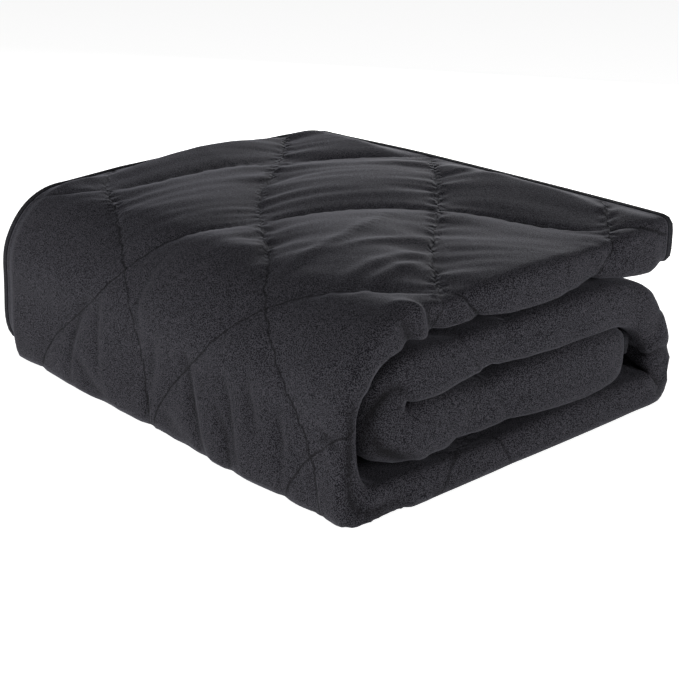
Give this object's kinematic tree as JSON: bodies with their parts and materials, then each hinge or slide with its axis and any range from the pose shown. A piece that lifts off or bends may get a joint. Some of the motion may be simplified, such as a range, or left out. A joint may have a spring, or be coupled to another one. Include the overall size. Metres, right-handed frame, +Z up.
{
  "type": "folded quilted comforter",
  "caption": "Padded bed comforter with diamond quilting and a narrow edge binding, folded in half and rolled flat with its loose end on top.",
  "frame": {"origin": "under the middle of the bounding box, on the surface the folded comforter rests on", "axes": "+Z up; +Y along the folded length, towards the bound edges; +X across the roll, towards the loose end on top"},
  "size_m": [0.501, 0.627, 0.21],
  "materials": {
    "charcoal_cloth": "matt",
    "black_tape": "satin"
  },
  "bodies": {
    "root": {"comforter": "charcoal_cloth", "binding": "black_tape"}
  },
  "joints": []
}
